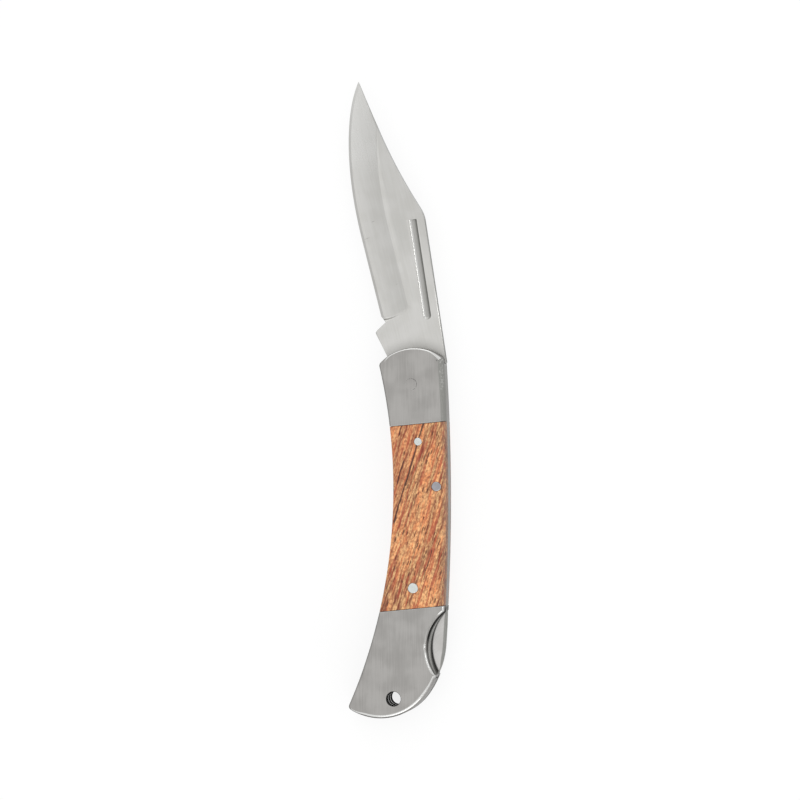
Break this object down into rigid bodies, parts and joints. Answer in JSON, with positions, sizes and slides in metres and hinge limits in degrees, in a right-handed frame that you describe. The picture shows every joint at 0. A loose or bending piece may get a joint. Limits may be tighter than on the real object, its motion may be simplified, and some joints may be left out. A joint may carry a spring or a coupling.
{
  "type": "folding pocket knife",
  "caption": "Open folding pocket knife with a clip-point blade, wooden scales between steel bolsters, a back lock with a thumb notch, and a lanyard hole.",
  "frame": {"origin": "on the axis of the blade's pivot, at the right face of the handle, which is what the knife lies on", "axes": "+Z from the right face to the left one, along all the pins; +Y from the pivot to the blade's tip; +X to the back of the handle"},
  "size_m": [0.0281, 0.1759, 0.0114],
  "materials": {
    "blade_steel": "ground and polished, fine scratches",
    "bolster_steel": "satin, worn at the edges",
    "liner_steel": "satin",
    "lock_steel": "satin",
    "spring_steel": "plain",
    "pin_steel": "polished flush",
    "scale_wood": "oiled, smooth, orange-brown with reddish grain"
  },
  "bodies": {
    "handle": {"lock_spring": "spring_steel", "butt_spacer": "liner_steel", "left_liner": "liner_steel", "right_liner": "liner_steel", "left_front_bolster": "bolster_steel", "right_front_bolster": "bolster_steel", "left_scale": "scale_wood", "right_scale": "scale_wood", "left_rear_bolster": "bolster_steel", "right_rear_bolster": "bolster_steel", "left_front_scale_rivet": "pin_steel", "right_front_scale_rivet": "pin_steel", "left_rear_scale_rivet": "pin_steel", "right_rear_scale_rivet": "pin_steel", "left_bolster_rivet": "pin_steel", "right_bolster_rivet": "pin_steel", "pivot_pin": "pin_steel", "rocker_pin": "pin_steel", "upper_butt_rivet": "pin_steel", "lower_butt_rivet": "pin_steel"},
    "blade": {"blade": "blade_steel"},
    "lock_bar": {"lock_bar": "lock_steel"}
  },
  "joints": [
    {"name": "blade_fold", "type": "hinge", "parent": "handle", "child": "blade", "pos_m": [0, 0, 0.0057], "axis": [0, 0, 1], "range_deg": [0, 164]},
    {"name": "lock_release", "type": "hinge", "parent": "handle", "child": "lock_bar", "pos_m": [0.00709, -0.0281, 0.0057], "axis": [0, 0, -1], "range_deg": [0, 3.5], "stiffness_Nm_per_rad": 1, "springref_deg": -8.59, "deforming": ["lock_spring"]}
  ]
}
